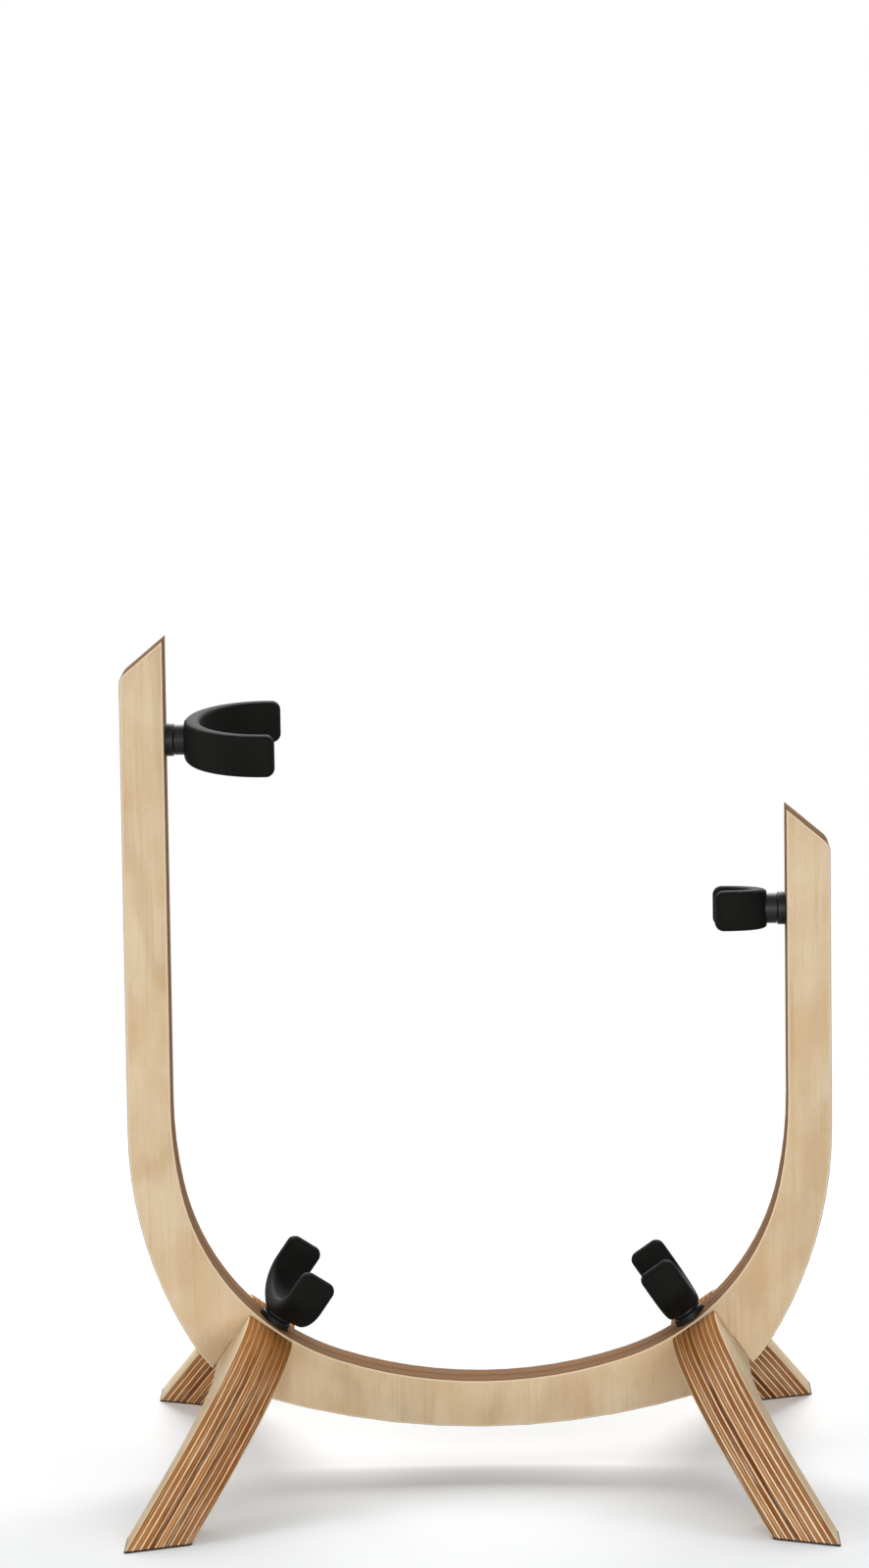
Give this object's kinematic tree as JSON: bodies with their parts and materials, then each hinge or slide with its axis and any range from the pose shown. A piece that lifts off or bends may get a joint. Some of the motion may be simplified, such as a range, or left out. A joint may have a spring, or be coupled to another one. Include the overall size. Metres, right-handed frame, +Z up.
{
  "type": "euphonium stand",
  "caption": "Floor stand for a euphonium: a U-shaped plywood yoke lapped onto arched plywood legs, with padded swivelling cradles that hold the horn upright.",
  "frame": {"origin": "on the floor under the middle of the stand", "axes": "+X across the yoke from its tall arm to its short arm, +Y through the board from front to back, +Z up"},
  "size_m": [0.353, 0.3492, 0.423],
  "materials": {
    "yoke_plywood": "clear satin birch plywood, pale face veneer, grey-brown cut edge",
    "leg_plywood": "clear satin birch plywood, striped cut edge showing the plies",
    "foot_pad": "matte black anti-slip",
    "collar": "black, slight sheen",
    "core": "dark grey, slight sheen",
    "cover": "soft matte black",
    "steel": "zinc plated"
  },
  "bodies": {
    "yoke": {"yoke": "yoke_plywood", "upper_left_insert": "steel", "upper_left_screw": "steel", "upper_left_collar": "collar", "upper_right_insert": "steel", "upper_right_screw": "steel", "upper_right_collar": "collar", "lower_left_insert": "steel", "lower_left_screw": "steel", "lower_left_collar": "collar", "lower_right_insert": "steel", "lower_right_screw": "steel", "lower_right_collar": "collar"},
    "left_leg": {"left_leg": "leg_plywood", "left_front_foot_pad": "foot_pad", "left_rear_foot_pad": "foot_pad"},
    "right_leg": {"right_leg": "leg_plywood", "right_front_foot_pad": "foot_pad", "right_rear_foot_pad": "foot_pad"},
    "upper_left_cradle": {"upper_left_core": "core", "upper_left_cover": "cover"},
    "upper_right_cradle": {"upper_right_core": "core", "upper_right_cover": "cover"},
    "lower_left_cradle": {"lower_left_core": "core", "lower_left_cover": "cover"},
    "lower_right_cradle": {"lower_right_core": "core", "lower_right_cover": "cover"}
  },
  "joints": [
    {"name": "left_leg_slide", "type": "slide", "parent": "yoke", "child": "left_leg", "axis": [-0.5644, 0, -0.8255], "range_m": [0, 0.03]},
    {"name": "right_leg_slide", "type": "slide", "parent": "yoke", "child": "right_leg", "axis": [0.5644, 0, -0.8255], "range_m": [0, 0.03]},
    {"name": "upper_left_swivel", "type": "hinge", "parent": "yoke", "child": "upper_left_cradle", "pos_m": [-0.15452, 0, 0.3717], "axis": [1, 0, 0], "continuous": true},
    {"name": "upper_right_swivel", "type": "hinge", "parent": "yoke", "child": "upper_right_cradle", "pos_m": [0.15452, 0, 0.2832], "axis": [-1, 0, 0], "continuous": true},
    {"name": "lower_left_swivel", "type": "hinge", "parent": "yoke", "child": "lower_left_cradle", "pos_m": [-0.10588, 0, 0.0739], "axis": [0.5644, 0, 0.8255], "continuous": true},
    {"name": "lower_right_swivel", "type": "hinge", "parent": "yoke", "child": "lower_right_cradle", "pos_m": [0.10588, 0, 0.0739], "axis": [-0.5644, 0, 0.8255], "continuous": true}
  ]
}
